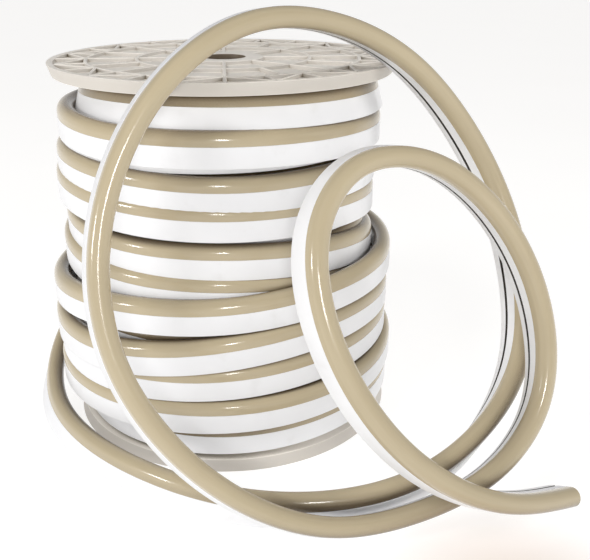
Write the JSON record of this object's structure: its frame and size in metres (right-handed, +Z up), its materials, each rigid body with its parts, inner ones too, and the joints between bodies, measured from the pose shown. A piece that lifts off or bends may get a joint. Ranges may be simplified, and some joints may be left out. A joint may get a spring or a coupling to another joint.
{
  "type": "led neon flex on a reel",
  "caption": "Domed LED neon flex wound on an upright plastic reel, its last stretch pulled off and standing in front in two loose loops.",
  "frame": {"origin": "middle of the reel's underside, on the surface that it stands on", "axes": "+Z up along the reel's axis, -Y towards the loops in front, +X to the right as seen from the front"},
  "size_m": [0.4088, 0.4107, 0.3412],
  "materials": {
    "reel_plastic": "moulded cream plastic, satin",
    "drum_plastic": "moulded cream plastic, satin",
    "flex_silicone": "white channel with a glossy translucent beige dome"
  },
  "bodies": {
    "root": {"bottom_flange": "reel_plastic", "top_flange": "reel_plastic", "drum": "drum_plastic", "wound_flex": "flex_silicone", "free_flex": "flex_silicone"}
  },
  "joints": []
}
